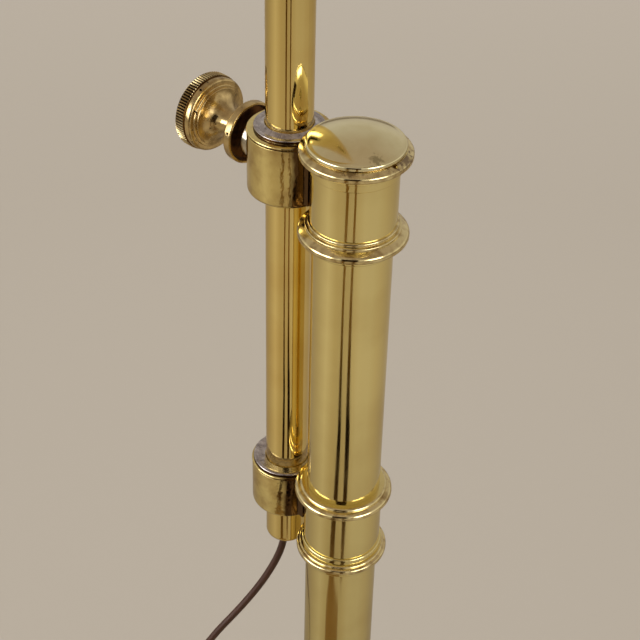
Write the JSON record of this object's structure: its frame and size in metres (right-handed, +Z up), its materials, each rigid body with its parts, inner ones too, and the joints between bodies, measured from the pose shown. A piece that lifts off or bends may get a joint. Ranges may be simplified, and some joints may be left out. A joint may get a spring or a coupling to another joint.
{
  "type": "floor lamp",
  "caption": "Brass reading floor lamp: weighted round base, column with collars and a thumbscrew that clamp a sliding rod, tilting arm and shaded head",
  "frame": {"origin": "middle of the base's underside, on the floor", "axes": "+Z up along the column; the sliding rod stands on the -X side and the arm points along +X"},
  "size_m": [0.5759, 0.317, 1.423],
  "materials": {
    "polished_brass": "polished, lacquered",
    "amber_brass": "polished, warmer lacquer",
    "aged_brass": "turned and knurled, tarnished",
    "pewter": "turned, dull",
    "nickel": "bright",
    "steel": "zinc plated",
    "cast_iron": "as cast, painted",
    "felt": "felt",
    "cord": "satin",
    "tie": "satin",
    "plug": "satin",
    "moulding": "satin",
    "porcelain": "glazed",
    "bulb": "frosted"
  },
  "bodies": {
    "column": {"base_felt": "felt", "base_weight": "cast_iron", "base_shell": "polished_brass", "base_washer": "steel", "base_nut": "steel", "column_foot": "polished_brass", "column_tube": "polished_brass", "upper_sleeve": "polished_brass", "lower_sleeve": "polished_brass", "column_cap": "polished_brass", "upper_collar": "polished_brass", "lower_collar": "polished_brass", "upper_bush": "pewter", "lower_bush": "pewter", "screw_boss": "nickel", "cord_drop": "cord", "cord_coil": "cord", "cord_tail": "cord", "coil_tie": "tie", "plug_body": "plug", "plug_pins": "steel"},
    "pad": {"clamp_pad": "polished_brass"},
    "thumbscrew": {"thumbscrew_stud": "nickel", "thumbscrew_head": "aged_brass"},
    "slider": {"cord_bush": "moulding"},
    "rod": {"rod_end": "amber_brass", "rod_tube": "amber_brass", "rod_wire": "cord", "rod_fork": "polished_brass", "rod_pivot_screw": "polished_brass", "rod_pivot_nut": "polished_brass", "rod_washers": "steel"},
    "arm": {"arm_tongue": "polished_brass", "arm_tube": "polished_brass", "arm_wire": "cord", "arm_fork": "polished_brass", "head_pivot_screw": "polished_brass", "head_pivot_nut": "polished_brass", "head_washers": "steel"},
    "head": {"head_tongue": "polished_brass", "socket_cap": "polished_brass", "socket_locknut": "steel", "socket_shell": "polished_brass", "switch_body": "moulding", "switch_nut": "polished_brass", "lampholder": "porcelain", "screw_shell": "nickel", "centre_contact": "steel", "bulb_cap": "nickel", "bulb_glass": "bulb", "shade": "polished_brass", "shade_ring": "polished_brass"},
    "switch": {"switch_spindle": "steel", "switch_knob": "polished_brass"}
  },
  "joints": [
    {"name": "rod_slide", "type": "slide", "parent": "column", "child": "slider", "axis": [0, 0, 1], "range_m": [-0.36, 0.01], "deforming": ["cord_drop"]},
    {"name": "rod_turn", "type": "hinge", "parent": "slider", "child": "rod", "pos_m": [-0.02928, 0, 0.5695], "axis": [0, 0, 1], "range_deg": [-170, 170]},
    {"name": "pad_slide", "type": "slide", "parent": "column", "child": "pad", "axis": [-1, 0, 0], "range_m": [0, 0.0025]},
    {"name": "screw_turn", "type": "hinge", "parent": "pad", "child": "thumbscrew", "pos_m": [-0.02928, 0, 0.7443], "axis": [-1, 0, 0], "range_deg": [0, 900]},
    {"name": "arm_tilt", "type": "hinge", "parent": "rod", "child": "arm", "pos_m": [-0.02928, 0, 1.415], "axis": [0, -1, 0], "range_deg": [-25, 75]},
    {"name": "head_tilt", "type": "hinge", "parent": "arm", "child": "head", "pos_m": [0.22072, 0, 1.415], "axis": [0, -1, 0], "range_deg": [-30, 80]},
    {"name": "switch_turn", "type": "hinge", "parent": "head", "child": "switch", "pos_m": [0.22072, 0, 1.375], "axis": [1, 0, 0], "continuous": true}
  ],
  "couplings": [
    {"joint": "screw_turn", "follows": "pad_slide", "rad_per_m": 6283.2}
  ]
}
